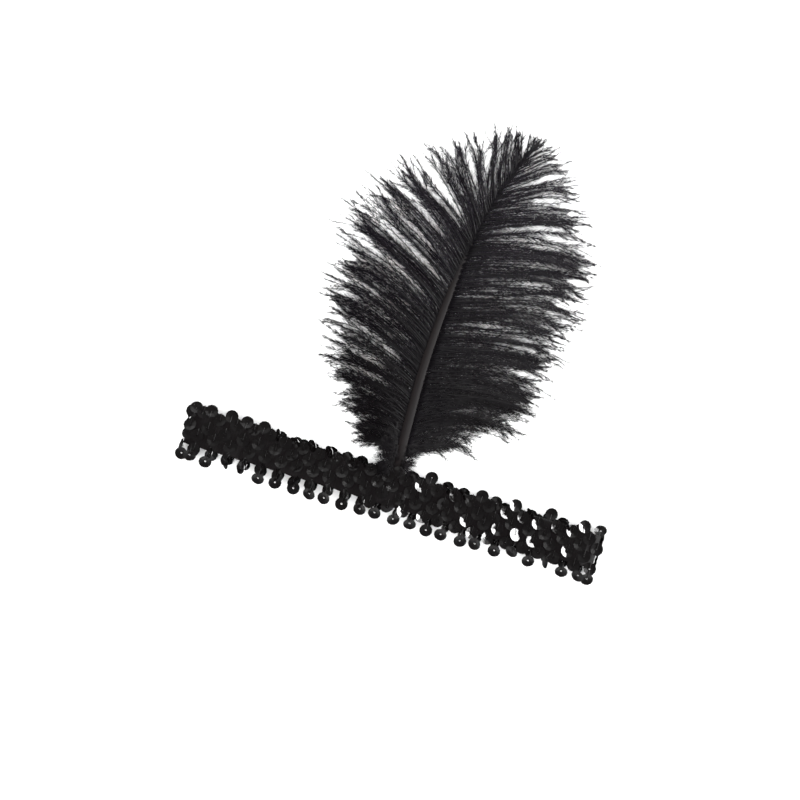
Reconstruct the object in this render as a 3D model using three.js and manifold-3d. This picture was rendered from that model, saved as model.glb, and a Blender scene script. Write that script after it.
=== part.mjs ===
// A flapper headband lying on a table: a stretch band in a flattened loop, covered with rows
// of sequins, and one ostrich plume whose quill is held inside the front layer of the band.
// Millimetres. +Z is up and the front of the band faces up. +X runs along the band and the
// plume points along +Y. The origin is the middle of the object's footprint, on the table.

import * as THREE from "three";
import { mergeVertices } from "three/addons/utils/BufferGeometryUtils.js";
import Module from "manifold-3d";

const wasm = await Module();
wasm.setup();

// Clearance between neighbouring pieces
const gap = 0.3;

// Elastic band: one wall in a closed loop, pressed flat
const bandLength = 196;
const elasticWidth = 15.4;
const elasticShift = 0.9; // of its middle from the middle row, towards the plume
const wall = 1.2;
const middleHollow = 7; // between the two layers at the middle
const endHollow = 10; // between the two layers where the loop turns
const bulgeReach = 60; // stretch over which the front layer rises to an end

// Sequins, in rows along the band, each lapped over the row below it
const sequinDiameter = 6;
const sequinThickness = 0.4;
const sequinPitch = 8.1;
const sequinTilt = 9; // degrees
const rowCount = 6;
const rowSpacing = 4.45;
const threadWidth = 0.9; // of the thread from one sequin to the next
const threadStep = 2; // where the thread goes round an end of the loop
const stripGap = 0.45; // between the plain strips on the back of the loop

// Feather
const featherLength = 159; // from the band's edge to the tip
const featherOffset = -1; // of the quill from the middle of the band
const shaftWidth = 5;
const shaftThickness = 3.4;
const quillTuck = 13; // length of quill inside the band
const shaftSway = 18; // how far the tip leans to the right
const shaftArch = 1.6; // how far the shaft rises over its height at the band
const tipHeight = 3; // of the shaft above the table
const barbLength = 64; // the longest
const lockCount = 19; // on each side of the shaft
const lockWidth = 11.5;
const lockThickness = 3.2;
const lockLift = 3.2; // of every other lock, half way along it
const lockDroop = 1.5; // power of the curve that brings a lock down to the table
const lockPress = 0.1; // share of a lock's thickness that the table flattens
const backingWidth = 3; // of the strip beside the shaft that joins the locks
const backingHeight = 0.67; // of that strip, as a share of the shaft's thickness
const barbClearance = 1.2; // from the sequins at the band's edge to the first barbs

// Felt patch that holds the quill against the inside of the front layer
const patchWidth = 24;
const patchLength = 11;
const patchThickness = 1;
const patchSlope = 1.5; // run of each side of its channel

// The shaft along its visible length: place, lean, width and thickness as shares
const shaftTable = [
  { along: 0, lean: 0, width: 1, thickness: 1 },
  { along: 0.12, lean: -0.06, width: 0.96, thickness: 0.96 },
  { along: 0.3, lean: -0.1, width: 0.86, thickness: 0.86 },
  { along: 0.5, lean: -0.02, width: 0.72, thickness: 0.72 },
  { along: 0.68, lean: 0.15, width: 0.56, thickness: 0.58 },
  { along: 0.82, lean: 0.4, width: 0.42, thickness: 0.46 },
  { along: 0.92, lean: 0.7, width: 0.32, thickness: 0.38 },
  { along: 1, lean: 1, width: 0.24, thickness: 0.3 },
];

// The locks of barbs. along is a share of the feather's length and length of the longest barb.
// The angles, in degrees from +Y, are a lock's direction at the shaft and at its tip.
const leftLocks = [
  { along: 0.02, length: 0.34, root: 80, tip: 94 },
  { along: 0.09, length: 0.5, root: 74, tip: 90 },
  { along: 0.16, length: 0.68, root: 70, tip: 88 },
  { along: 0.26, length: 0.86, root: 60, tip: 80 },
  { along: 0.38, length: 0.94, root: 66, tip: 64 },
  { along: 0.5, length: 1, root: 74, tip: 52 },
  { along: 0.62, length: 0.94, root: 56, tip: 44 },
  { along: 0.7, length: 0.8, root: 38, tip: 50 },
  { along: 0.78, length: 0.58, root: 24, tip: 20 },
  { along: 0.9, length: 0.26, root: 8, tip: 4 },
];
const rightLocks = [
  { along: 0.02, length: 0.3, root: 50, tip: 80 },
  { along: 0.06, length: 0.54, root: 46, tip: 92 },
  { along: 0.11, length: 0.76, root: 48, tip: 90 },
  { along: 0.16, length: 0.84, root: 56, tip: 88 },
  { along: 0.22, length: 0.9, root: 70, tip: 82 },
  { along: 0.36, length: 0.96, root: 76, tip: 82 },
  { along: 0.5, length: 1, root: 74, tip: 80 },
  { along: 0.62, length: 0.96, root: 70, tip: 86 },
  { along: 0.74, length: 0.72, root: 60, tip: 82 },
  { along: 0.83, length: 0.5, root: 54, tip: 62 },
  { along: 0.93, length: 0.24, root: 46, tip: 56 },
];

// The form of one lock: width and thickness as shares, at shares of its length
const lockForm = [
  { along: 0, width: 0.62, thickness: 1 },
  { along: 0.22, width: 0.92, thickness: 1 },
  { along: 0.5, width: 1, thickness: 0.85 },
  { along: 0.8, width: 0.78, thickness: 0.6 },
  { along: 1, width: 0.22, thickness: 0.25 },
];

// One sequin as sections along its row: place and half width as shares of its radius
const sequinForm = [
  { along: -1, half: threadWidth / sequinDiameter },
  { along: -0.72, half: 0.7 },
  { along: 0, half: 1 },
  { along: 0.72, half: 0.7 },
  { along: 1, half: threadWidth / sequinDiameter },
];

// Heights and edges that several pieces share
const sequinRadius = sequinDiameter / 2;
const tilt = THREE.MathUtils.degToRad(sequinTilt);
const sequinSeat = gap + sequinRadius * Math.sin(tilt) + (sequinThickness / 2) * Math.cos(tilt);
const sequinLayer = 2 * sequinSeat - gap;
const endRadius = (endHollow + wall) / 2;
const endCentre = bandLength / 2 - wall / 2 - endRadius;
const backHeight = sequinLayer + wall / 2;
const frontHeight = backHeight + middleHollow + wall;
const frontInside = frontHeight - wall / 2;
const quillHeight = frontInside - gap - shaftThickness / 2;
const elasticTop = elasticShift + elasticWidth / 2;
const quillEnd = elasticTop - quillTuck;
const rowsHalf = ((rowCount - 1) / 2) * rowSpacing;
const featherStart = rowsHalf + sequinRadius;

const yAxis = new THREE.Vector3(0, 1, 0);
const zAxis = new THREE.Vector3(0, 0, 1);

// The mid-line of the elastic wall as (x, z): over the front from left to right, round the
// right end, back underneath and round the left end.
const frontShare = 0.4;
const turnShare = 0.1;
class LoopLine extends THREE.Curve {
  getPoint(t, target = new THREE.Vector2()) {
    const turnFrom = (from) => ((t - from) / turnShare) * Math.PI;
    if (t <= frontShare) {
      const x = endCentre * (2 * (t / frontShare) - 1);
      return target.set(x, frontLine(x));
    }
    if (t <= frontShare + turnShare) {
      const turn = Math.PI / 2 - turnFrom(frontShare);
      return this.onEnd(1, turn, target);
    }
    if (t <= 1 - turnShare) {
      const x = endCentre * (1 - 2 * ((t - frontShare - turnShare) / frontShare));
      return target.set(x, backHeight);
    }
    const turn = -Math.PI / 2 - turnFrom(1 - turnShare);
    return this.onEnd(-1, turn, target);
  }

  onEnd(side, turn, target) {
    return target.set(
      side * endCentre + endRadius * Math.cos(turn),
      backHeight + endRadius + endRadius * Math.sin(turn),
    );
  }
}

function frontLine(x) {
  const rise = 2 * endRadius - middleHollow - wall;
  const flat = Math.max(0, endCentre - bulgeReach);
  return frontHeight + rise * THREE.MathUtils.smoothstep(Math.abs(x), flat, endCentre);
}

const loopLine = new LoopLine();
loopLine.arcLengthDivisions = 1000;
const loopLength = loopLine.getLength();
const turnLength = Math.PI * endRadius;
const frontLength = loopLength - 2 * endCentre - 2 * turnLength;

// A place on the loop, at t of the line, offset outwards from the mid-line
function onLoop(t, offset) {
  const tangent = loopLine.getTangent(t);
  const along = new THREE.Vector3(tangent.x, 0, tangent.y);
  const out = new THREE.Vector3(-tangent.y, 0, tangent.x);
  const point = loopLine.getPoint(t);
  const place = new THREE.Vector3(point.x, 0, point.y).addScaledVector(out, offset);
  return { place, along, out };
}

// The same, at a distance along the mid-line from the middle of the front
function onLoopAt(distance, offset) {
  const share = (frontLength / 2 + distance) / loopLength;
  return onLoop(loopLine.getUtoTmapping(share - Math.floor(share)), offset);
}

// A closed body through sections of the same number of points, in a ring or with flat ends
function loft(sections, ring = false) {
  const sides = sections[0].length;
  const positions = sections.flat().flatMap((p) => [p.x, p.y, p.z]);
  const index = [];
  const spans = ring ? sections.length : sections.length - 1;
  for (let i = 0; i < spans; i++) {
    const here = i * sides;
    const next = ((i + 1) % sections.length) * sides;
    for (let j = 0; j < sides; j++) {
      const k = (j + 1) % sides;
      index.push(here + j, here + k, next + k, here + j, next + k, next + j);
    }
  }
  if (!ring) {
    const last = spans * sides;
    for (let j = 1; j < sides - 1; j++) {
      index.push(0, j + 1, j);
      index.push(last, last + j, last + j + 1);
    }
  }
  const geometry = new THREE.BufferGeometry();
  geometry.setAttribute("position", new THREE.Float32BufferAttribute(positions, 3));
  geometry.setIndex(signedVolume(positions, index) < 0 ? index.reverse() : index);
  return geometry;
}

function signedVolume(positions, index) {
  const corner = (i) => new THREE.Vector3().fromArray(positions, 3 * index[i]);
  let sum = 0;
  for (let i = 0; i < index.length; i += 3) {
    sum += corner(i).dot(corner(i + 1).cross(corner(i + 2))) / 6;
  }
  return sum;
}

function toSolid(geometry) {
  const bare = new THREE.BufferGeometry();
  bare.setAttribute("position", geometry.getAttribute("position"));
  bare.setIndex(geometry.index);
  const merged = mergeVertices(bare, 1e-4);
  return new wasm.Manifold(
    new wasm.Mesh({
      numProp: 3,
      vertProperties: new Float32Array(merged.attributes.position.array),
      triVerts: new Uint32Array(merged.index.array),
    }),
  );
}

function toGeometry(solid) {
  const mesh = solid.getMesh();
  const geometry = new THREE.BufferGeometry();
  geometry.setAttribute("position", new THREE.BufferAttribute(mesh.vertProperties, 3));
  geometry.setIndex(new THREE.BufferAttribute(mesh.triVerts, 1));
  return geometry;
}

// A shape drawn in x and z, extruded along Y from one y to another
function extrudeAlongY(shape, from, to) {
  const geometry = new THREE.ExtrudeGeometry(shape, { depth: to - from, bevelEnabled: false });
  return geometry.rotateX(Math.PI / 2).translate(0, to, 0);
}

// Numbers read from a table at a share of its length, smoothly from one line to the next
function fromTable(table, share) {
  const last = table.length - 1;
  let i = 0;
  while (i < last - 1 && share > table[i + 1].along) i++;
  const [low, high] = [table[i], table[i + 1]];
  const span = high.along - low.along;
  const part = THREE.MathUtils.clamp((share - low.along) / span, 0, 1);
  const slope = (name, j) => {
    const [before, after] = [table[Math.max(0, j - 1)], table[Math.min(last, j + 1)]];
    return ((after[name] - before[name]) / (after.along - before.along)) * span;
  };
  const read = (name) => {
    const [a, b, c] = [low[name], high[name], part];
    const ease = c * c * (3 - 2 * c);
    const bend = c * (1 - c) ** 2 * slope(name, i) - c * c * (1 - c) * slope(name, i + 1);
    return [name, a + (b - a) * ease + bend];
  };
  return Object.fromEntries(Object.keys(low).map(read));
}

// The elastic wall: level sections all round the loop
function elasticBand() {
  const frontSteps = 24;
  const endSteps = 10;
  const stations = [];
  for (let i = 0; i < frontSteps; i++) stations.push((frontShare * i) / frontSteps);
  for (let i = 0; i <= endSteps; i++) stations.push(frontShare + (turnShare * i) / endSteps);
  for (let i = 0; i < endSteps; i++) stations.push(1 - turnShare + (turnShare * i) / endSteps);
  const sections = stations.map((t) => {
    const { place, out } = onLoop(t, 0);
    const halfWidth = yAxis.clone().multiplyScalar(elasticWidth / 2);
    return cornersAt(place.setY(elasticShift), halfWidth, out.clone().multiplyScalar(wall / 2));
  });
  return toSolid(loft(sections, true));
}

// One sequin: its sections, level along the row and tilted across it
function sequinSections(distance, y) {
  const { place, along, out } = onLoopAt(distance, wall / 2 + sequinSeat);
  const across = yAxis.clone().multiplyScalar(Math.cos(tilt)).addScaledVector(out, -Math.sin(tilt));
  const normal = new THREE.Vector3().crossVectors(along, across);
  const centre = place.setY(y);
  return sequinForm.map((s) =>
    cornersAt(
      centre.clone().addScaledVector(along, s.along * sequinRadius),
      across.clone().multiplyScalar(s.half * sequinRadius),
      normal.clone().multiplyScalar(sequinThickness / 2),
    ),
  );
}

// The four corners of a rectangle with the given half sides
function cornersAt(centre, halfAcross, halfUp) {
  const corner = (a, b) => centre.clone().addScaledVector(halfAcross, a).addScaledVector(halfUp, b);
  return [corner(-1, -1), corner(1, -1), corner(1, 1), corner(-1, 1)];
}

// A level section of a row, of the thread or of the plain strip along the back
function levelSection(distance, y, offset, width, thickness) {
  const { place, out } = onLoopAt(distance, wall / 2 + offset);
  const halfAcross = yAxis.clone().multiplyScalar(width / 2);
  return cornersAt(place.setY(y), halfAcross, out.clone().multiplyScalar(thickness / 2));
}

// A row: sequins on a thread over the front and round the ends, and a plain strip behind.
// The rows are spaced out from the middle of the front, every other one by half a sequin more.
function sequinRow(row) {
  const y = (row - (rowCount - 1) / 2) * rowSpacing;
  const pitch = loopLength / Math.round(loopLength / sequinPitch);
  const backStart = frontLength / 2 + turnLength;
  const right = [];
  const lastPlace = backStart - sequinRadius - 2 * gap;
  for (let d = row % 2 === 0 ? pitch / 2 : 0; d <= lastPlace; d += pitch) right.push(d);
  const left = right.filter((d) => d > 0).map((d) => -d);
  const sequins = [...left.reverse(), ...right].flatMap((d) => sequinSections(d, y));

  const threadStart = right[right.length - 1] + sequinRadius + gap;
  const threadSteps = Math.floor((backStart - threadStart) / threadStep);
  const threadAt = (d) => levelSection(d, y, sequinSeat, threadWidth, sequinThickness);
  const threadEnds = [];
  for (let i = 0; i < threadSteps; i++) {
    threadEnds.push(threadStart + (i / threadSteps) * (backStart - threadStart));
  }
  const stripAt = (d) =>
    levelSection(d, y, (gap + sequinLayer) / 2, rowSpacing - stripGap, sequinLayer - gap);
  const sections = [
    ...sequins,
    ...threadEnds.map(threadAt),
    stripAt(backStart),
    stripAt(loopLength - backStart),
    ...threadEnds.reverse().map((d) => threadAt(-d)),
  ];
  return toSolid(loft(sections, true));
}

// The middle of the shaft at a share of the feather's length, with its size there
function onShaft(share) {
  const { lean, width, thickness } = fromTable(shaftTable, share);
  const arch = shaftArch * Math.sin(Math.PI * Math.min(1, Math.max(0, share)));
  const sink = (quillHeight - tipHeight) * Math.max(0, share) ** 2;
  const x = featherOffset + lean * shaftSway;
  const place = new THREE.Vector3(x, featherStart + share * featherLength, quillHeight + arch - sink);
  return { place, width: width * shaftWidth, thickness: thickness * shaftThickness };
}

// The quill and shaft: oval sections square to +Y
function featherShaft() {
  const sides = 8;
  const steps = 16;
  const endShare = (quillEnd - featherStart) / featherLength;
  const shares = [endShare, endShare / 3];
  for (let i = 0; i <= steps; i++) shares.push(i / steps);
  const sections = shares.map((share) => {
    const { place, width, thickness } = onShaft(share);
    const oval = [];
    for (let j = 0; j < sides; j++) {
      const turn = ((j + 0.5) / sides) * 2 * Math.PI;
      oval.push(
        new THREE.Vector3((width / 2) * Math.cos(turn), 0, (thickness / 2) * Math.sin(turn)).add(place),
      );
    }
    return oval;
  });
  return toSolid(loft(sections));
}

// One lock of barbs: it leaves the shaft, bends, and comes down to the table
function lock(side, share, row, raised) {
  const root = onShaft(share).place;
  const length = row.length * barbLength;
  const steps = lockForm.length - 1;
  const centre = root.clone();
  const sections = [];
  for (let i = 0; i <= steps; i++) {
    const { along, width, thickness } = lockForm[i];
    const turn = THREE.MathUtils.degToRad(THREE.MathUtils.lerp(row.root, row.tip, along));
    const heading = new THREE.Vector3(side * Math.sin(turn), Math.cos(turn), 0);
    if (i > 0) centre.addScaledVector(heading, length * (along - lockForm[i - 1].along));
    const lift = (raised ? lockLift : 0) * Math.sin(Math.PI * along);
    const rest = (0.5 - lockPress) * thickness * lockThickness;
    centre.z = root.z * (1 - along ** lockDroop) + lift + rest;
    const across = new THREE.Vector3(heading.y, -heading.x, 0);
    const halfWidth = (width * lockWidth) / 2;
    const halfThickness = (thickness * lockThickness) / 2;
    sections.push([
      centre.clone().addScaledVector(across, -halfWidth),
      centre.clone().addScaledVector(zAxis, -halfThickness),
      centre.clone().addScaledVector(across, halfWidth),
      centre.clone().addScaledVector(zAxis, halfThickness),
    ]);
  }
  return toSolid(loft(sections));
}

// A strip along the shaft that the roots of the locks are joined to
function barbBacking(side) {
  const steps = 12;
  const sections = [];
  for (let i = 0; i <= steps; i++) {
    const { place, width, thickness } = onShaft(i / steps);
    const middle = place.clone();
    middle.x += side * (width / 2 + gap + backingWidth / 4);
    sections.push(
      cornersAt(
        middle,
        new THREE.Vector3(backingWidth / 2, 0, 0),
        zAxis.clone().multiplyScalar((backingHeight * thickness) / 2),
      ),
    );
  }
  return toSolid(loft(sections));
}

// The space that one side's barbs may fill: clear of the shaft and the band, above the table
function barbSpace(side) {
  const steps = 16;
  const reach = 2 * barbLength;
  const lowest = featherStart + barbClearance;
  const edge = [];
  for (let i = 0; i <= steps; i++) {
    const { place, width } = onShaft(i / steps);
    edge.push(new THREE.Vector2(place.x + side * (width / 2 + gap), place.y));
  }
  edge[0].y = lowest;
  const tip = edge[steps];
  const beyond = tip.y + barbLength;
  const outline = [
    ...edge,
    new THREE.Vector2(tip.x, beyond),
    new THREE.Vector2(side * reach, beyond),
    new THREE.Vector2(side * reach, lowest),
  ];
  const shape = new THREE.Shape(outline);
  return toSolid(new THREE.ExtrudeGeometry(shape, { depth: reach, bevelEnabled: false }));
}

// One side of the plume: its locks and backing joined, then kept to its own space
function barbs(side, table) {
  const [first, last] = [table[0].along, table[table.length - 1].along];
  let joined = barbBacking(side);
  for (let i = 0; i < lockCount; i++) {
    const share = THREE.MathUtils.lerp(first, last, i / (lockCount - 1));
    joined = joined.add(lock(side, share, fromTable(table, share), i % 2 === 1));
  }
  return joined.intersect(barbSpace(side));
}

// The felt patch: flat edges against the front layer, and a channel under the quill
function quillPatch() {
  const top = frontInside - gap;
  const channelHalf = shaftWidth / 2 + gap;
  const channelDepth = shaftThickness + gap;
  const half = [
    [patchWidth / 2, top],
    [patchWidth / 2, top - patchThickness],
    [channelHalf + patchThickness + patchSlope, top - patchThickness],
    [channelHalf + patchThickness, top - channelDepth - patchThickness],
  ];
  const inner = [
    [channelHalf, top - channelDepth],
    [channelHalf + patchSlope, top],
  ];
  const mirror = (points) => points.map(([x, z]) => [-x, z]).reverse();
  const outline = [...half, ...mirror(half), ...mirror(inner), ...inner];
  const shape = new THREE.Shape(outline.map(([x, z]) => new THREE.Vector2(x + featherOffset, z)));
  const middle = (elasticTop + quillEnd) / 2;
  return toSolid(extrudeAlongY(shape, middle - patchLength / 2, middle + patchLength / 2));
}

const elasticFinish = new THREE.MeshStandardMaterial({ color: 0x0f0e10, roughness: 0.9 });
const sequinFinish = new THREE.MeshStandardMaterial({ color: 0x0b0a0b, roughness: 0.14 });
const shaftFinish = new THREE.MeshStandardMaterial({ color: 0x2a2627, roughness: 0.5 });
const barbFinish = new THREE.MeshStandardMaterial({ color: 0x17151a, roughness: 0.8 });
const feltFinish = new THREE.MeshStandardMaterial({ color: 0x121113, roughness: 1 });

const assembly = new THREE.Group();
function addPiece(name, solid, finish) {
  const mesh = new THREE.Mesh(toGeometry(solid), finish);
  mesh.name = name;
  assembly.add(mesh);
}

addPiece("elastic_band", elasticBand(), elasticFinish);
for (let row = 0; row < rowCount; row++) {
  addPiece(`sequin_row_${row + 1}`, sequinRow(row), sequinFinish);
}
addPiece("feather_shaft", featherShaft(), shaftFinish);
addPiece("barbs_left", barbs(-1, leftLocks), barbFinish);
addPiece("barbs_right", barbs(1, rightLocks), barbFinish);
addPiece("quill_patch", quillPatch(), feltFinish);

// The origin goes to the middle of the footprint, at table height
const extent = new THREE.Box3().setFromObject(assembly);
const footprint = extent.getCenter(new THREE.Vector3());
assembly.position.set(-footprint.x, -footprint.y, -extent.min.z);

const headband = new THREE.Group();
headband.add(assembly);
export default headband;
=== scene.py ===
import math

import bpy
import numpy as np
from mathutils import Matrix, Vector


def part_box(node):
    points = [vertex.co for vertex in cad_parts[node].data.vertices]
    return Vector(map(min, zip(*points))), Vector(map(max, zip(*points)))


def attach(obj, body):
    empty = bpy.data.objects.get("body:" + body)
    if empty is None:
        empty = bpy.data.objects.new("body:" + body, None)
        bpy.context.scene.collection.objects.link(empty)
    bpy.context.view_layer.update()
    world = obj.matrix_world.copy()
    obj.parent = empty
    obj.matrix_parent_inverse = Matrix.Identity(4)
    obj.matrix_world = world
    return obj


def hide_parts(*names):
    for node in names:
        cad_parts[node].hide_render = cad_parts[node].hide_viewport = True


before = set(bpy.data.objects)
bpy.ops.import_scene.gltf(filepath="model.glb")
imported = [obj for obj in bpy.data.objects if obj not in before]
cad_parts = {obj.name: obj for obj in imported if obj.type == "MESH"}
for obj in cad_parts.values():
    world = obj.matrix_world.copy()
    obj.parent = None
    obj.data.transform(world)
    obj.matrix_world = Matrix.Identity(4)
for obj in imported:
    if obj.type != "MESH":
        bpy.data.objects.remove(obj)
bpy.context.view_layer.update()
print("stage: frame loaded")

# Shapes below are in millimetres, in the CAD frame, and become metres in makePiece.
mm = 0.001
random = np.random.default_rng(23)


# Shader nodes

class Wire:
    def __init__(self, tree, socket):
        self.tree = tree
        self.socket = socket

    def maths(self, operation, other, swapped=False):
        first, second = (other, self) if swapped else (self, other)
        return addNode(self.tree, "ShaderNodeMath", {"operation": operation}, {0: first, 1: second})

    def __add__(self, other):
        return self.maths("ADD", other)

    def __radd__(self, other):
        return self.maths("ADD", other, True)

    def __sub__(self, other):
        return self.maths("SUBTRACT", other)

    def __rsub__(self, other):
        return self.maths("SUBTRACT", other, True)

    def __mul__(self, other):
        return self.maths("MULTIPLY", other)

    def __rmul__(self, other):
        return self.maths("MULTIPLY", other, True)

    def __pow__(self, other):
        return self.maths("POWER", other)


def addNode(tree, kind, settings, sockets, output=0):
    node = tree.nodes.new(kind)
    for name, value in settings.items():
        setattr(node, name, value)
    for name, value in sockets.items():
        if isinstance(value, Wire):
            tree.links.new(value.socket, node.inputs[name])
        else:
            node.inputs[name].default_value = value
    return Wire(tree, node.outputs[output])


def mixColours(tree, share, first, second):
    sockets = {0: share, 6: (*first, 1) if isinstance(first, tuple) else first}
    sockets[7] = (*second, 1) if isinstance(second, tuple) else second
    return addNode(tree, "ShaderNodeMix", {"data_type": "RGBA"}, sockets, 2)


def objectPlace(tree, stretch=(1, 1, 1)):
    place = addNode(tree, "ShaderNodeTexCoord", {}, {}, "Object")
    return addNode(tree, "ShaderNodeVectorMath", {"operation": "MULTIPLY"}, {0: place, 1: stretch})


def noise(tree, place, scale, detail=2.0):
    return addNode(tree, "ShaderNodeTexNoise", {}, {"Vector": place, "Scale": scale, "Detail": detail})


def bump(tree, height, strength, distance):
    sockets = {"Height": height, "Strength": strength, "Distance": distance}
    return addNode(tree, "ShaderNodeBump", {}, sockets)


def newMaterial(name, build):
    material = bpy.data.materials.new(name)
    material.use_nodes = True
    tree = material.node_tree
    shader = tree.nodes["Principled BSDF"]
    for socket, value in build(tree).items():
        if isinstance(value, Wire):
            tree.links.new(value.socket, shader.inputs[socket])
        else:
            shader.inputs[socket].default_value = value
    return material


def sequinPlastic(tree):
    place = objectPlace(tree)
    cloud = noise(tree, place, 260, 1)
    scuff = noise(tree, place, 2400, 3)
    return {
        "Base Color": mixColours(tree, cloud, (0.002, 0.0016, 0.0017), (0.0042, 0.0035, 0.0036)),
        "Roughness": 0.1 + 0.16 * scuff,
        "Specular IOR Level": 0.62,
        "Normal": bump(tree, noise(tree, place, 700, 2), 0.12, 0.0002),
    }


def elasticCloth(tree):
    place = objectPlace(tree)
    rib = addNode(tree, "ShaderNodeTexWave", {"bands_direction": "X"},
                  {"Vector": place, "Scale": 260, "Distortion": 0.4})
    knit = noise(tree, place, 1800, 3)
    return {
        "Base Color": mixColours(tree, knit, (0.0022, 0.0018, 0.0019), (0.0068, 0.0057, 0.006)),
        "Roughness": 0.8 + 0.15 * knit,
        "Specular IOR Level": 0.25,
        "Normal": bump(tree, rib * 0.6 + knit * 0.4, 0.35, 0.0002),
    }


def threadFibre(tree):
    place = objectPlace(tree)
    twist = addNode(tree, "ShaderNodeTexWave", {"bands_direction": "DIAGONAL"},
                    {"Vector": place, "Scale": 900, "Distortion": 1.0})
    return {
        "Base Color": mixColours(tree, twist, (0.0018, 0.0016, 0.0017), (0.0045, 0.004, 0.0043)),
        "Roughness": 0.6 + 0.2 * twist,
        "Normal": bump(tree, twist, 0.5, 0.0001),
    }


def shaftHorn(tree):
    streaks = noise(tree, objectPlace(tree, (1, 0.06, 1)), 1400, 4)
    patches = noise(tree, objectPlace(tree, (1, 0.4, 1)), 120, 3)
    brown = mixColours(tree, streaks, (0.0052, 0.0043, 0.0043), (0.0145, 0.012, 0.0118))
    return {
        "Base Color": mixColours(tree, patches ** 2, brown, (0.008, 0.007, 0.008)),
        "Roughness": 0.66 + 0.25 * streaks,
        "Specular IOR Level": 0.18,
        "Normal": bump(tree, streaks, 0.45, 0.0003),
    }


def barbFibre(tree):
    place = objectPlace(tree)
    tufts = noise(tree, place, 55, 3)
    strands = noise(tree, place, 900, 2)
    dark = mixColours(tree, strands, (0.0012, 0.001, 0.0012), (0.0035, 0.003, 0.0037))
    return {
        "Base Color": mixColours(tree, tufts ** 2, dark, (0.006, 0.005, 0.0068)),
        "Roughness": 0.6 + 0.3 * strands,
        "Specular IOR Level": 0.22,
    }


def barbuleFibre(tree):
    place = objectPlace(tree)
    tufts = noise(tree, place, 70, 3)
    # Lighter and more violet towards the tip of the plume. The violet is the dye's own tone; the lightness
    # is painted sheen and painted light showing through the thin barbules.
    lower = mixColours(tree, tufts, (0.004, 0.0035, 0.0039), (0.01, 0.0087, 0.0102))
    upper = mixColours(tree, tufts, (0.008, 0.0067, 0.0094), (0.026, 0.0212, 0.031))
    upwards = addNode(tree, "ShaderNodeSeparateXYZ", {}, {0: place}, "Y")
    return {
        "Base Color": mixColours(tree, upwards * 9 + 0.25, lower, upper),
        "Roughness": 0.75 + 0.2 * noise(tree, place, 1200, 1),
        "Specular IOR Level": 0.3,
    }


def feltFibre(tree):
    place = objectPlace(tree)
    fuzz = noise(tree, place, 1500, 5)
    return {
        "Base Color": mixColours(tree, fuzz, (0.003, 0.003, 0.0034), (0.01, 0.0095, 0.011)),
        "Roughness": 0.95,
        "Normal": bump(tree, fuzz, 0.8, 0.0005),
    }


def floorPaint(tree):
    grain = noise(tree, objectPlace(tree), 300, 2)
    return {
        "Base Color": mixColours(tree, grain, (0.93, 0.93, 0.93), (0.95, 0.95, 0.95)),
        "Roughness": 0.9,
        "Specular IOR Level": 0.1,
    }


sequinFinish = newMaterial("sequin_plastic", sequinPlastic)
elasticFinish = newMaterial("elastic_cloth", elasticCloth)
threadFinish = newMaterial("thread_fibre", threadFibre)
shaftFinish = newMaterial("shaft_horn", shaftHorn)
barbFinish = newMaterial("barb_fibre", barbFibre)
barbuleFinish = newMaterial("barbule_fibre", barbuleFibre)
feltFinish = newMaterial("felt_fibre", feltFibre)
floorFinish = newMaterial("floor_paint", floorPaint)
print("stage: materials")


# Mesh makers

# points has one point a line, and faces is a list of arrays with one face a line.
def makePiece(name, points, faces, finish, smooth=True):
    mesh = bpy.data.meshes.new(name)
    corners = np.concatenate([group.ravel() for group in faces])
    sizes = np.concatenate([np.full(len(group), group.shape[1]) for group in faces])
    mesh.vertices.add(len(points))
    mesh.vertices.foreach_set("co", (points * mm).ravel())
    mesh.loops.add(len(corners))
    mesh.loops.foreach_set("vertex_index", corners.astype(np.int32))
    mesh.polygons.add(len(sizes))
    mesh.polygons.foreach_set("loop_start", (np.cumsum(sizes) - sizes).astype(np.int32))
    mesh.polygons.foreach_set("use_smooth", np.full(len(sizes), smooth))
    mesh.update(calc_edges=True)
    mesh.materials.append(finish)
    piece = bpy.data.objects.new(name, mesh)
    bpy.context.scene.collection.objects.link(piece)
    return piece


# Quads between rings of points, for many bodies at once: faces[body, ring, side]
def wallFaces(bodies, rings, sides, ring=False):
    body = np.arange(bodies)[:, None, None] * rings * sides
    here = np.arange(rings if ring else rings - 1)[None, :, None]
    side = np.arange(sides)[None, None, :]
    after = (side + 1) % sides
    above = (here + 1) % rings
    shape = (bodies, here.shape[1], sides)
    corners = [(here, side), (above, side), (above, after), (here, after)]
    quads = [np.broadcast_to(body + level * sides + place, shape) for level, place in corners]
    return np.stack(quads, -1).reshape(-1, 4)


# Rings of points round paths: a path's point, and its radius times the cosine and the sine of
# each turn, across the path and upwards. paths is [body, step, xyz] and radii [body, step].
def ringsRound(paths, radii, sides):
    tangents = np.gradient(paths, axis=1)
    tangents /= np.linalg.norm(tangents, axis=2, keepdims=True) + 1e-9
    across = np.cross(tangents, np.array([0.0, 0.0, 1.0]) + 1e-4)
    across /= np.linalg.norm(across, axis=2, keepdims=True) + 1e-9
    upward = np.cross(across, tangents)
    turns = np.arange(sides)[:, None] / sides * 2 * np.pi
    spokes = across[:, :, None] * np.cos(turns) + upward[:, :, None] * np.sin(turns)
    return paths[:, :, None] + spokes * radii[:, :, None, None]


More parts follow.
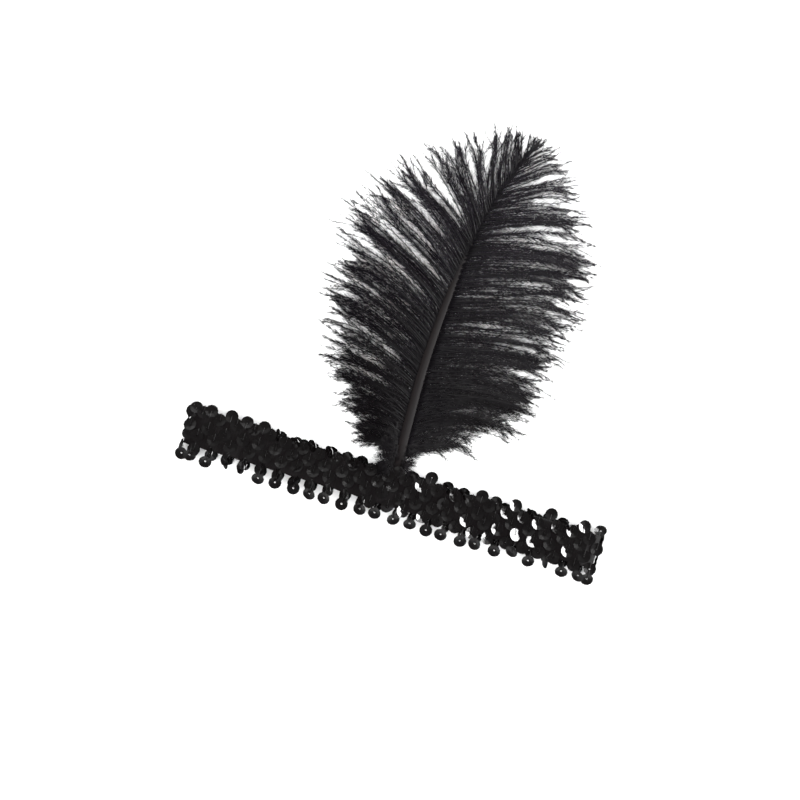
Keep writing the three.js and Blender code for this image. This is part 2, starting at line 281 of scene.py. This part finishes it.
# Closed tapered strands: rings along each path, a flat base and a single point at the tip
def makeStrands(name, paths, radii, sides, finish):
    bodies, steps = radii.shape
    rings = ringsRound(paths[:, :-1], radii[:, :-1], sides).reshape(-1, 3)
    points = np.concatenate([rings, paths[:, -1]])
    walls = wallFaces(bodies, steps - 1, sides)
    first = np.arange(bodies)[:, None] * (steps - 1) * sides
    side = np.arange(sides)[None, :]
    bases = first + side
    last = first + (steps - 2) * sides
    tips = np.broadcast_to(len(rings) + np.arange(bodies)[:, None], (bodies, sides))
    ends = np.stack([last + side, tips, last + (side + 1) % sides], -1).reshape(-1, 3)
    return makePiece(name, points, [walls, bases, ends], finish)


# One body through rings of points, with flat ends or joined in a ring
def makeLoft(name, rings, finish, ring=False, smooth=True):
    count, sides = rings.shape[:2]
    faces = [wallFaces(1, count, sides, ring)]
    if not ring:
        faces += [np.arange(sides)[None, :], (count - 1) * sides + np.arange(sides)[None, ::-1]]
    return makePiece(name, rings.reshape(-1, 3), faces, finish, smooth)


# 0 up to low, 1 from high, and between them three times the share's square less twice its cube
def smoothstep(value, low, high):
    share = np.clip((value - low) / (high - low), 0, 1)
    return share * share * (3 - 2 * share)


# Band: the mid-line of its wall, from the middle of the front to the right and all round

band = {"length": 196, "elasticWidth": 15.4, "elasticShift": 0.9, "wall": 1.2, "middleHollow": 7,
        "endHollow": 10, "bulgeReach": 60, "rows": 6, "rowSpacing": 4.45, "layer": 1.634,
        "lineSteps": 200, "turnSteps": 60, "stations": 360, "widthSteps": 24, "corner": 0.3,
        "bevel": 0.09, "pucker": 0.15, "puckerSpacing": 4.03}
bandMiddle = (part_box("sequin_row_1")[0][1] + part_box("sequin_row_6")[1][1]) / 2 / mm
endRadius = (band["endHollow"] + band["wall"]) / 2
endCentre = (band["length"] - band["wall"]) / 2 - endRadius
backHeight = band["layer"] + band["wall"] / 2
frontHeight = backHeight + band["middleHollow"] + band["wall"]
endRise = band["endHollow"] - band["middleHollow"]


# The mid-line in x and z: a front that rises by smoothstep over bulgeReach towards the end, half
# a circle round the end, and a level back. The left half mirrors the right one.
def loopLine():
    out = np.linspace(0, endCentre, band["lineSteps"])
    turn = np.linspace(np.pi / 2, -np.pi / 2, band["turnSteps"])[1:]
    back = out[-2::-1]
    front = frontHeight + endRise * smoothstep(out, endCentre - band["bulgeReach"], endCentre)
    x = np.concatenate([out, endCentre + endRadius * np.cos(turn), back])
    end = backHeight + endRadius * (1 + np.sin(turn))
    z = np.concatenate([front, end, np.full(len(back), backHeight)])
    x, z = np.concatenate([x, -x[-2::-1]]), np.concatenate([z, z[-2::-1]])
    run = np.concatenate([[0], np.cumsum(np.hypot(np.diff(x), np.diff(z)))])
    return run, x, z


lineRun, lineX, lineZ = loopLine()
loopLength = lineRun[-1]


# Places on the loop: distance from the middle of the front, y from the middle row, height
# above the mid-line. Returns the points and the unit vectors along the loop and outwards.
def onLoop(distance, y, height):
    def at(run):
        return np.stack([np.interp(run % loopLength, lineRun, line) for line in (lineX, lineZ)], -1)

    distance, y, height = np.broadcast_arrays(distance, y, height)
    step = at(distance + 0.2) - at(distance - 0.2)
    step /= np.linalg.norm(step, axis=-1, keepdims=True)
    zero = np.zeros(distance.shape)
    along = np.stack([step[..., 0], zero, step[..., 1]], -1)
    out = np.stack([-step[..., 1], zero, step[..., 0]], -1)
    flat = at(distance)
    place = np.stack([flat[..., 0], y + bandMiddle, flat[..., 1]], -1) + out * height[..., None]
    return place, along, out


# The wall's outline, a strip with bevelled corners, carried round the loop. A sine along the
# loop puckers both edges, where the stitches pull the cloth in.
def makeElastic():
    stations = np.linspace(0, loopLength, band["stations"], endpoint=False)
    half, wall, bevel = band["elasticWidth"] / 2, band["wall"] / 2, band["bevel"]
    widths = np.linspace(band["corner"] - half, half - band["corner"], band["widthSteps"])
    outline = np.concatenate([
        np.stack([widths, np.full(len(widths), wall)], -1),
        [[half - bevel, wall - bevel], [half, 0], [half - bevel, bevel - wall]],
        np.stack([widths[::-1], np.full(len(widths), -wall)], -1),
        [[bevel - half, bevel - wall], [-half, 0], [bevel - half, wall - bevel]],
    ])
    share = outline[:, 0] / half
    pucker = band["pucker"] * np.sin(stations / band["puckerSpacing"] * np.pi)[:, None]
    y = band["elasticShift"] + outline[:, 0] + pucker * share ** 4 * np.sign(share)
    place, _, _ = onLoop(stations[:, None], y, outline[:, 1])
    return makeLoft("elastic_cloth", place, elasticFinish, ring=True)


elastic = makeElastic()
print("stage: elastic")


# Sequins: faceted cups with a hole, sewn in rows and lapped over the row below

sequins = {"radius": 3.0, "hole": 0.4, "flat": 1.0, "slope": 0.36, "thickness": 0.16,
           "facets": 6, "pitch": 8.1, "jitter": 0.45, "sway": 0.35, "spread": 9, "endLean": 0.85,
           "leanRise": 0.25, "seatJitter": 0.15, "clearance": 0.05}

# The rows from the lower edge up. y is the middle of the row. Sequins are numbered from the
# middle of the front, to the right from 0 and to the left from -1. glints are the ones that
# catch the light, full the flat ones that mirror it all over, and folded the ones turned
# nearly on edge. backIn draws the row inwards on the underside. With columns, those left of
# columnsEnd stand above the sequins of the first row, so that the edge shows arches. cornerLift
# moves those left of cornerEnd up.
rowForms = [
    {"y": -11.6, "tilt": -22, "columns": False, "glints": (), "full": (),
     "folded": (-10, -9, 7, 9), "backIn": 3.4, "cornerLift": 0},
    {"y": -7.2, "tilt": 9, "columns": True, "glints": (1, 2, 5, 6), "full": (),
     "folded": (), "backIn": 0, "cornerLift": 0},
    {"y": -2.2, "tilt": 9, "columns": False, "glints": (4, 6, 8, 10), "full": (7,),
     "folded": (), "backIn": 0, "cornerLift": 0},
    {"y": 2.2, "tilt": 9, "columns": False, "glints": (), "full": (),
     "folded": (), "backIn": 0, "cornerLift": 0},
    {"y": 6.6, "tilt": 9, "columns": False, "glints": (1, 3, 6, 7, 8, 9, 10), "full": (),
     "folded": (), "backIn": 0, "cornerLift": 1.8},
    {"y": 10.9, "tilt": 18, "columns": False, "glints": (7, 11), "full": (),
     "folded": (-7, -6, -5, -4, -3, -2, -1, 0, 1, 3, 4, 6, 8, 10), "backIn": 2.6,
     "cornerLift": 0},
]

# Turns, tilts and rolls are in degrees. On the shoulder and flush parts of an end, sequins go no
# further round than endTurn and flushTurn.
edges = {"columnsEnd": -15, "columnY": -8.4, "columnRoll": 44, "cornerEnd": -60, "endTurn": 42,
         "shoulderLeft": 95, "shoulderRight": 72, "flushReach": 145, "flushTurn": 104,
         "flushShare": 0.15, "flushSink": 0.3}
folds = {"tilt": -36, "spread": 12, "roll": 40, "range": (0.3, 1.6), "inwards": 1.7, "rise": 0.8}
glints = {"tilt": 18, "spread": 2, "sway": 0.05, "fullTilt": 37, "fullDepth": 0.12,
          "fullLift": 1.4, "azimuth": 34, "dullTilt": 6}


# One cup as rings of points: out along the top, and back on the underside.
# The height is slope times the distance beyond the flat, measured square to each facet.
def cupRings():
    sides = 2 * sequins["facets"]
    turns = np.arange(sides) / sides * 2 * np.pi
    squareness = np.where(np.arange(sides) % 2 == 0, 1, math.cos(math.pi / sequins["facets"]))
    radii = np.stack([np.full(sides, sequins["hole"]), sequins["flat"] / squareness,
                      np.full(sides, sequins["radius"])])
    heights = sequins["slope"] * np.maximum(0, radii * squareness - sequins["flat"])
    top = np.stack([radii * np.cos(turns), radii * np.sin(turns), heights], -1)
    under = top[[2, 0]] - [0, 0, sequins["thickness"]]
    return np.concatenate([top, under])


# Turns first towards second by an angle, both unit vectors square to each other
def turned(first, second, angle):
    return first * np.cos(angle) + second * np.sin(angle), second * np.cos(angle) - first * np.sin(angle)


# Round an end, the first sequins crowd on its upper shoulder and the next lie flush on its wall
def crowdEnds(row, distances, out):
    turn = np.arctan2(out[:, 0], out[:, 2])
    reach = np.where((turn < 0) | (row == 0), edges["shoulderLeft"], edges["shoulderRight"])
    shoulder = np.abs(turn) < np.radians(reach)
    flush = ~shoulder & (np.abs(turn) < math.radians(edges["flushReach"]))
    most = np.radians(np.where(flush, edges["flushTurn"], edges["endTurn"]))
    spare = (shoulder | flush) * np.maximum(0, np.abs(turn) - most) * np.sign(turn)
    return distances - spare * endRadius, turn - spare, shoulder, flush


# Only the chosen sequins lean far enough towards the glint light to mirror it. The dulled ones
# lose what they lean past dullTilt.
def catchLight(normal, chosen, full, dulled):
    count = len(normal)
    azimuth = math.radians(glints["azimuth"])
    towards = np.array([math.cos(azimuth), math.sin(azimuth), 0])
    limit = math.sin(math.radians(glints["dullTilt"]))
    spare = np.maximum(0, normal @ towards - limit) * dulled
    normal = normal - spare[:, None] * towards
    lean = glints["tilt"] + random.uniform(-glints["spread"], glints["spread"], count)
    lean = np.radians(np.where(full, glints["fullTilt"], lean))[:, None]
    sway = np.cross([0, 0, 1], towards) * random.normal(0, glints["sway"], count)[:, None]
    lit = np.cos(lean) * [0, 0, 1] + np.sin(lean) * towards + sway
    normal = np.where(chosen[:, None], lit, normal)
    return normal / np.linalg.norm(normal, axis=1, keepdims=True)


# Where the sequins of a row sit, and their axes: along the row, across it and outwards
def placeSequins(row):
    form = rowForms[row]
    count = round(loopLength / sequins["pitch"])
    pitch = loopLength / count
    number = np.arange(count)
    number = np.where(number < count / 2, number, number - count)
    distances = (number + (0.5 if row % 2 == 0 else 0)) * pitch
    place, _, out = onLoop(distances, 0, 0)
    front = out[:, 2] > -0.5
    columned = form["columns"] & (place[:, 0] < edges["columnsEnd"])
    corner = (place[:, 0] < edges["cornerEnd"]) & front
    folded = np.isin(number, form["folded"])
    full = np.isin(number, form["full"]) & front
    chosen = (np.isin(number, form["glints"]) & front) | full

    distances = distances + np.where(columned, pitch / 2, random.normal(0, sequins["jitter"], count))
    y = np.where(columned, edges["columnY"], form["y"]) + random.normal(0, sequins["sway"], count)
    y = y - np.sign(form["y"]) * np.where(front, folded * folds["inwards"], form["backIn"])
    y = y + corner * form["cornerLift"]
    tilt = form["tilt"] + random.normal(0, sequins["spread"], count)
    tilt = np.where(folded, folds["tilt"] + random.normal(0, folds["spread"], count), tilt)
    roll = random.normal(0, sequins["spread"], count)
    roll = np.where(folded, folds["roll"] * random.uniform(*folds["range"], count), roll)
    roll = np.where(columned | (~front & (row == 0)), edges["columnRoll"] + roll, roll)
    distances, turn, shoulder, flush = crowdEnds(row, distances, out)
    tilt, roll = (angle * np.where(flush, edges["flushShare"], 1) for angle in (tilt, roll))

    lean = sequins["endLean"] * turn * shoulder
    seat = band["wall"] / 2 + band["layer"] / 2
    seat = seat + random.uniform(-sequins["seatJitter"], sequins["seatJitter"], count)
    seat = seat + sequins["leanRise"] * sequins["radius"] * np.sin(np.abs(lean))
    seat = seat + folded * folds["rise"] - flush * edges["flushSink"] + full * glints["fullLift"]
    place, along, out = onLoop(distances, y, seat)
    along, out = turned(along, out, lean[:, None])
    across = np.broadcast_to([0.0, 1.0, 0.0], out.shape)
    normal, across = turned(out, across, np.radians(tilt)[:, None])
    _, normal = turned(along, normal, np.radians(roll)[:, None])
    normal = catchLight(normal, chosen, full, front & ~flush)
    across = across - normal * np.sum(across * normal, 1, keepdims=True)
    across /= np.linalg.norm(across, axis=1, keepdims=True)
    depth = np.where(full, glints["fullDepth"], 1)
    return place, np.cross(across, normal), across, normal, depth


# The cup's rings carried to each place, turned at random about the normal
def makeSequinRow(row, place, along, across, normal, depth):
    count = len(place)
    first, second = turned(along, across, random.uniform(0, 2 * np.pi, count)[:, None])
    axes = np.stack([first, second, normal * depth[:, None]], 1)
    rings = np.einsum("rsk,nkc->nrsc", cupRings(), axes) + place[:, None, None]
    rings[..., 2] = np.maximum(rings[..., 2], sequins["clearance"])
    walls = wallFaces(count, rings.shape[1], rings.shape[2], ring=True)
    points = rings.reshape(-1, 3)
    return makePiece(f"sequins_{row + 1}", points, [walls[:, ::-1]], sequinFinish, smooth=False)


# A stitch comes up through each hole, crosses the cup to one edge and goes into the cloth. The
# route is given across the cup and above it. The lowest row's has a longer tail.
thread = {"radius": 0.13, "sides": 5, "tail": 3.3, "longTail": 5.4, "sink": -0.9, "clearance": 0.2,
          "route": [(0, -0.5), (0.1, 0.1), (0.5, 0.3), (1.3, 0.32), (2.2, 0.58), (2.9, 0.85), (3.2, 0.4)]}


def makeStitches(row, place, across, normal):
    towards = -1 if row == band["rows"] - 1 else 1
    tail = thread["longTail"] if row == 0 else thread["tail"]
    route = np.array([*thread["route"], (tail, thread["sink"])])
    paths = (place[:, None] + across[:, None] * route[:, :1] * towards + normal[:, None] * route[:, 1:])
    paths[..., 2] = np.maximum(paths[..., 2], thread["clearance"])
    radii = np.full(paths.shape[:2], thread["radius"])
    return makeStrands(f"stitches_{row + 1}", paths, radii, thread["sides"], threadFinish)


rowPieces = []
for row in range(band["rows"]):
    place, along, across, normal, depth = placeSequins(row)
    cups = makeSequinRow(row, place, along, across, normal, depth)
    rowPieces.append((cups, makeStitches(row, place, across, normal)))
print("stage: sequins")


# Feather: its shaft and the two sides of barbs

feather = {"length": 159, "offset": -1, "sway": 18, "shaftWidth": 5, "shaftThickness": 3.4,
           "arch": 1.6, "tipHeight": 3, "quillTuck": 13, "barbLength": 64, "sides": 28,
           "steps": 120, "quillSteps": 14, "groove": 0.22, "grooveWidth": 0.35, "ridges": 9,
           "ridgePhase": 2, "ridgeHeight": 0.03, "socket": 0.3}
featherStart = bandMiddle + (band["rows"] - 1) / 2 * band["rowSpacing"] + sequins["radius"]
quillHeight = frontHeight - band["wall"] / 2 - feather["socket"] - feather["shaftThickness"] / 2
quillEnd = bandMiddle + band["elasticShift"] + band["elasticWidth"] / 2 - feather["quillTuck"]

# Along the visible length: place, lean, width and thickness as shares
shaftTable = np.array([
    (0, 0, 1, 1), (0.12, -0.06, 0.96, 0.96), (0.3, -0.1, 0.86, 0.86), (0.5, -0.02, 0.72, 0.72),
    (0.68, 0.15, 0.56, 0.58), (0.82, 0.4, 0.42, 0.46), (0.92, 0.7, 0.32, 0.38), (1, 1, 0.24, 0.3),
])

# Along the shaft: place, longest barb as a share, and direction in degrees from +Y at the root
# and at the tip
barbTables = {
    -1: np.array([
        (0.02, 0.3, 74, 100), (0.09, 0.47, 68, 96), (0.16, 0.66, 66, 92), (0.26, 0.86, 58, 82),
        (0.38, 0.94, 52, 78), (0.5, 1, 52, 74), (0.62, 0.89, 42, 64), (0.7, 0.72, 36, 44),
        (0.78, 0.6, 26, 6), (0.84, 0.46, 20, 2), (0.92, 0.27, 10, 2), (0.98, 0.08, -8, -16),
    ]),
    1: np.array([
        (0.02, 0.32, 50, 84), (0.06, 0.58, 46, 94), (0.11, 0.82, 48, 92), (0.16, 0.88, 56, 90),
        (0.22, 0.9, 62, 90), (0.36, 0.96, 68, 90), (0.5, 1, 66, 88), (0.62, 0.96, 66, 90),
        (0.74, 0.78, 60, 80), (0.83, 0.58, 52, 62), (0.93, 0.26, 40, 50), (0.98, 0.08, 24, 22),
    ]),
}


# Columns of a table read at shares of its first column, smoothly from line to line
def fromTable(table, share):
    places, columns = table[:, 0], table[:, 1:]
    i = np.clip(np.searchsorted(places, share, side="right") - 1, 0, len(table) - 2)
    last = len(table) - 1
    span = (places[i + 1] - places[i])[..., None]
    part = np.clip((share - places[i])[..., None] / span, 0, 1)

    def slope(j):
        before, after = np.maximum(j - 1, 0), np.minimum(j + 1, last)
        return (columns[after] - columns[before]) / (places[after] - places[before])[..., None] * span

    ease = part * part * (3 - 2 * part)
    bend = part * (1 - part) ** 2 * slope(i) - part * part * (1 - part) * slope(i + 1)
    return columns[i] + (columns[i + 1] - columns[i]) * ease + bend


# The shaft's middle, width and thickness. Its height is an arch by half a sine, and falls from
# the quill's height to the tip's with the share's square.
def onShaft(share):
    share = np.asarray(share, float)
    lean, width, thickness = np.moveaxis(fromTable(shaftTable, share), -1, 0)
    reach = np.clip(share, 0, 1)
    height = (quillHeight + feather["arch"] * np.sin(np.pi * reach)
              - (quillHeight - feather["tipHeight"]) * reach ** 2)
    x = feather["offset"] + lean * feather["sway"]
    place = np.stack([x, featherStart + share * feather["length"], height], -1)
    return place, width * feather["shaftWidth"], thickness * feather["shaftThickness"]


# Ellipses along the shaft, with fine ridges and with a groove along the middle underneath, which
# is a bell curve of the turn
def makeShaft():
    endShare = (quillEnd - featherStart) / feather["length"]
    share = np.concatenate([np.linspace(endShare, 0, feather["quillSteps"])[:-1],
                            np.linspace(0, 1, feather["steps"])])
    place, width, thickness = onShaft(share)
    turns = np.arange(feather["sides"]) / feather["sides"] * 2 * np.pi
    down = (turns - 1.5 * np.pi) / feather["grooveWidth"]
    groove = 1 - feather["groove"] * np.exp(-down ** 2)
    ridge = 1 + feather["ridgeHeight"] * np.sin(turns * feather["ridges"] + feather["ridgePhase"])
    x = (width / 2)[:, None] * np.cos(turns) * ridge
    z = (thickness / 2)[:, None] * np.sin(turns) * groove
    rings = place[:, None] + np.stack([x, 0 * x, z], -1)
    return makeLoft("plume_shaft", rings[:, ::-1], shaftFinish)


shaft = makeShaft()
print("stage: shaft")

# Barbs leave the shaft every spacing millimetres and gather in clumps further out. own and
# shared are the spreads of a barb and of a clump: length as a share, root turn and tip turn.
barbs = {"spacing": 0.6, "crowding": 1.2, "steps": 18, "radius": 0.28, "tipRadius": 0.09,
         "reach": 1.04, "gather": 0.6, "gatherLow": 0.12, "wave": 1.1, "lift": 3.0, "droop": 1.5,
         "openLocks": 0.46, "clump": (2, 5), "jitter": 0.0025, "own": (0.25, 6, 10),
         "shared": (0.12, 4, 9), "clearance": 0.3}
barbules = {"spacing": 0.64, "length": 4.6, "radius": 0.1, "lean": 30, "sag": 0.3}
down = {"count": 80, "length": 10, "rightShare": 0.6, "radius": 0.18}


# Paths of barbs from the shaft at given shares. A barb's heading turns from its root angle to
# its tip angle. Its height falls as root height times (1 - along ** droop), and half a sine
# times lift is added.
def barbPaths(side, share, length, rootTurn, tipTurn, lift):
    along = np.linspace(0, 1, barbs["steps"])
    turn = np.radians(rootTurn[:, None] + (tipTurn - rootTurn)[:, None] * along)
    stride = length[:, None] / (barbs["steps"] - 1)
    root, width, thickness = onShaft(share)
    cover = smoothstep(share, 0.45, 0.75)
    edge = side * width * (0.4 - 0.7 * cover)
    x = root[:, :1] + edge[:, None] + (np.cumsum(np.sin(turn), 1) - np.sin(turn[:, :1])) * stride * side
    y = root[:, 1:2] + (np.cumsum(np.cos(turn), 1) - np.cos(turn[:, :1])) * stride
    top = root[:, 2:] + (thickness * (0.15 + 0.4 * cover))[:, None]
    z = (top - 0.6) * (1 - along ** barbs["droop"]) + lift[:, None] * np.sin(np.pi * along) + 0.6
    return np.stack([x, y, z], -1)


# How full the plume is at a share of its length: dense low down, thin and wispy at the tip
def fullness(share):
    return 1.22 - 0.8 * smoothstep(share, 0.64, 1.02)


def makeBarbs(side):
    table = barbTables[side]
    first, last = table[0, 0], table[-1, 0]
    count = int((last - first) * feather["length"] / barbs["spacing"])
    share = first + (last - first) * np.linspace(0, 1, count) ** barbs["crowding"]
    share = np.sort(np.clip(share + random.normal(0, barbs["jitter"], count), first, last))
    ends = np.cumsum(random.integers(*barbs["clump"], count))
    clump = np.searchsorted(ends, np.arange(count), side="right")
    clumps = clump[-1] + 1
    clumpShare = np.array([share[clump == i].mean() for i in range(clumps)])

    def paths(at, many, lengthSpread, rootSpread, tipSpread, lift):
        length, rootTurn, tipTurn = fromTable(table, at).T
        length = length * feather["barbLength"] * barbs["reach"] * random.uniform(1 - lengthSpread, 1, many)
        return barbPaths(side, at, length, rootTurn + random.normal(0, rootSpread, many),
                         tipTurn + random.normal(0, tipSpread, many), lift)

    own = paths(share, count, *barbs["own"], random.uniform(0, barbs["lift"], count))
    shared = paths(clumpShare, clumps, *barbs["shared"], random.uniform(0, barbs["lift"], clumps))
    along = np.linspace(0, 1, barbs["steps"])[None, :, None]
    upper = smoothstep(share, 0.2, 0.5)
    gather = barbs["gatherLow"] + (barbs["gather"] - barbs["gatherLow"]) * upper
    gather = (gather * random.uniform(0.75, 1.1, count))[:, None, None]
    gather = gather * smoothstep(along, 0.02, 0.6) * (1 - 0.6 * smoothstep(along, 0.7, 1))
    phase = random.uniform(0, 2 * np.pi, (clumps, 1, 3))
    swell = np.sin(phase + along * random.uniform(3, 7, (clumps, 1, 3))) - np.sin(phase)
    result = own + (shared[clump] - own) * gather
    result += swell[clump] * along * barbs["wave"] * [0.6, 0.8, 0.3]
    phase = random.uniform(0, 2 * np.pi, (count, 1, 3))
    result += (np.sin(phase + along * 9) - np.sin(phase)) * along * [0.6, 0.6, 0.3]
    low = featherStart + 0.8 + random.uniform(0, 1.2, (count, 1))
    result[..., 1] = np.maximum(result[..., 1], low)
    result[..., 2] = np.maximum(result[..., 2], barbs["clearance"])
    thin = barbs["tipRadius"] / barbs["radius"]
    taper = 1 - (1 - thin) * along[..., 0] + 0.8 * np.exp(-12 * along[..., 0])
    radii = barbs["radius"] * taper * random.uniform(0.8, 1.15, (count, 1))
    # Some locks are sleek, so that thin gaps stay open beside them
    sleek = barbs["openLocks"] * random.uniform(0, 1, clumps)[clump] * smoothstep(share, 0.15, 0.4)
    return result, radii, fullness(share) * (1 - sleek)


# Barbules stand off both sides of each barb, lean towards its tip and bend forward
def makeBarbules(paths, fluff):
    steps = paths.shape[1]
    length = np.linalg.norm(np.diff(paths, axis=1), axis=2).sum(1)
    number = (length / barbules["spacing"] * 2 * np.minimum(1, fluff + 0.1)).astype(int)
    barb = np.repeat(np.arange(len(paths)), number)
    spot = random.uniform(0, 1, len(barb))
    place = spot * (steps - 1)
    low = np.minimum(place.astype(int), steps - 2)
    part = (place - low)[:, None]
    root = paths[barb, low] * (1 - part) + paths[barb, low + 1] * part
    ahead = paths[barb, low + 1] - paths[barb, low]
    ahead /= np.linalg.norm(ahead, axis=-1, keepdims=True) + 1e-9
    sides = random.choice([-1, 1], len(barb))[:, None]
    beside = np.stack([-ahead[:, 1], ahead[:, 0], 0 * spot], -1) * sides
    lean = np.radians(barbules["lean"] * random.uniform(0.5, 1.5, len(barb)))[:, None]
    start = ahead * np.cos(lean) + beside * np.sin(lean)
    start[:, 2] += random.normal(-barbules["sag"], 0.2, len(barb))
    full = fluff[barb] * (1 - 0.15 * spot) * (1 - 0.6 * smoothstep(spot, 0.75, 1))
    reach = (barbules["length"] * full * random.uniform(0.5, 1.25, len(barb)))[:, None]
    middle = root + start * reach * 0.5
    tip = middle + (start * 0.5 + ahead * 0.55 + random.normal(0, 0.16, root.shape)) * reach * 0.5
    strands = np.stack([root, middle, tip], 1)
    strands[..., 2] = np.maximum(strands[..., 2], 0.12)
    radii = barbules["radius"] * np.broadcast_to([1, 0.8, 0], (len(strands), 3))
    return strands, radii


# Short down at the foot of the plume: it rises over the band's edge and lies on the sequins
def makeDown():
    count = down["count"]
    along = np.linspace(0, 1, barbs["steps"])
    side = random.choice([-1, -1, 1], count)
    share = random.uniform(-0.02, 0.05, count)
    root, width, _ = onShaft(share)
    curl = random.normal(0, 25, count)[:, None] * along
    turn = np.radians(random.uniform(40, 165, count)[:, None] + curl)
    length = down["length"] * random.uniform(0.45, 1, count) * np.where(side > 0, down["rightShare"], 1)
    stride = length[:, None] / (barbs["steps"] - 1)
    x = root[:, :1] + (side * width * 0.3)[:, None] + np.cumsum(np.sin(turn), 1) * stride * side[:, None]
    y = root[:, 1:2] + np.cumsum(np.cos(turn), 1) * stride
    top = frontHeight + band["wall"] / 2 + band["layer"] + random.uniform(0.5, 1.2, count)[:, None]
    z = root[:, 2:] + (top - root[:, 2:]) * smoothstep(along, 0, 0.35)
    radii = np.broadcast_to(down["radius"] * (1 - 0.6 * along), (count, barbs["steps"]))
    return np.stack([x, y, z], -1), radii, np.ones(count)


pieceStrands = 18000  # keeps each piece under 200,000 triangles
barbPieces = {}
for side, word in ((-1, "left"), (1, "right")):
    paths, radii, fluff = makeBarbs(side)
    if side == 1:
        paths, radii, fluff = (np.concatenate(pair) for pair in zip((paths, radii, fluff), makeDown()))
    pieces = [makeStrands(f"barbs_{word}_stems", paths, radii, 4, barbFinish)]
    strands, fineRadii = makeBarbules(paths, fluff)
    for start in range(0, len(strands), pieceStrands):
        part = slice(start, start + pieceStrands)
        name = f"barbules_{word}_{len(pieces)}"
        pieces.append(makeStrands(name, strands[part], fineRadii[part], 3, barbuleFinish))
    barbPieces[word] = pieces
    print("stage: barbs", word, len(paths), "barbs", len(strands), "barbules")


# Felt patch

patch = {"width": 24, "length": 11, "thickness": 1, "slope": 1.5, "gap": 0.3, "points": 61,
         "stations": 16, "pinch": 0.015}


def makePatch():
    top = frontHeight - band["wall"] / 2 - patch["gap"]
    half = feather["shaftWidth"] / 2 + patch["gap"]
    depth = feather["shaftThickness"] + patch["gap"]
    x = np.linspace(-patch["width"] / 2, patch["width"] / 2, patch["points"])
    sink = depth * (1 - smoothstep(np.abs(x), half + 0.2, half + patch["slope"] + 0.6))
    upper = np.stack([x, top - sink], -1)
    lower = np.stack([x, top - sink - patch["thickness"]], -1)
    outline = np.concatenate([upper, lower[::-1]])
    middle = bandMiddle + band["elasticShift"] + band["elasticWidth"] / 2 - feather["quillTuck"] / 2
    run = np.linspace(-0.5, 0.5, patch["stations"])[:, None]
    pinch = 1 - patch["pinch"] * np.cos(run * 2 * np.pi)
    x, y, z = np.broadcast_arrays(feather["offset"] + outline[:, 0] * pinch,
                                  middle + run * patch["length"], outline[:, 1])
    return makeLoft("felt_patch", np.stack([x, y, z], -1)[:, ::-1], feltFinish)


felt = makePatch()
print("stage: patch")

# What each piece stands for

for piece, node, slot in [
    (elastic, "elastic_band", "elastic"),
    (shaft, "feather_shaft", "shaft"),
    (felt, "quill_patch", "felt"),
    *[(piece, f"sequin_row_{row + 1}", slot) for row, pair in enumerate(rowPieces)
      for piece, slot in zip(pair, ("sequins", "elastic"))],
    *[(piece, f"barbs_{word}", "barbs") for word, pieces in barbPieces.items() for piece in pieces],
]:
    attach(piece, "root")
    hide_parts(node)

# Floor, lights and camera

floorSize = 60000
floor = makePiece("floor", np.array([[x * floorSize, y * floorSize, -0.01] for x, y in
                                     ((-1, -1), (1, -1), (1, 1), (-1, 1))]),
                  [np.arange(4)[None, :]], floorFinish)
floor.visible_glossy = False  # the sequins don't mirror it

world = bpy.data.worlds.new("studio")
bpy.context.scene.world = world
world.use_nodes = True
sky = world.node_tree
ray = addNode(sky, "ShaderNodeTexCoord", {}, {}, "Generated")
upwards = addNode(sky, "ShaderNodeSeparateXYZ", {}, {0: ray}, "Z")
sky.nodes["Background"].inputs["Color"].default_value = (1, 1, 1, 1)
glow = 0.1 + 0.9 * (1.0 - upwards.maths("ABSOLUTE", 0)) ** 3
sky.links.new(glow.socket, sky.nodes["Background"].inputs["Strength"])


# Two soft lights, in degrees and metres. Only the glint, a low panel, is mirrored by the sequins.
overhead = {"angle": 45, "strength": 6.0}
glint = {"zenith": 76, "azimuth": glints["azimuth"], "distance": 1.6, "size": (2.6, 0.65),
         "power": 170}


def addLight(name, kind, mirrored):
    light = bpy.data.objects.new(name, bpy.data.lights.new(name, kind))
    light.visible_glossy = mirrored
    light.visible_diffuse = not mirrored
    bpy.context.scene.collection.objects.link(light)
    return light


sun = addLight("overhead", "SUN", False)
sun.location = (0, 0, 2)
sun.data.angle = math.radians(overhead["angle"])
sun.data.energy = overhead["strength"]

low = addLight("glint", "AREA", True)
low.data.shape = "RECTANGLE"
low.data.size, low.data.size_y = glint["size"]
low.data.energy = glint["power"]
zenith, azimuth = math.radians(glint["zenith"]), math.radians(glint["azimuth"])
reach = glint["distance"] * math.sin(zenith)
low.location = (reach * math.cos(azimuth), reach * math.sin(azimuth), glint["distance"] * math.cos(zenith))
low.rotation_euler = (zenith, 0, azimuth + math.pi / 2)

view = {"x": -0.0087, "y": -0.0389, "turn": 17.2, "distance": 1.2, "width": 0.3692}
cameraData = bpy.data.cameras.new("camera")
cameraData.lens = 36 * view["distance"] / view["width"]
camera = bpy.data.objects.new("camera", cameraData)
camera.location = (view["x"], view["y"], view["distance"])
camera.rotation_euler = (0, 0, math.radians(view["turn"]))
bpy.context.scene.collection.objects.link(camera)
bpy.context.scene.camera = camera
bpy.context.scene.view_settings.view_transform = "Standard"
print("stage: scene")
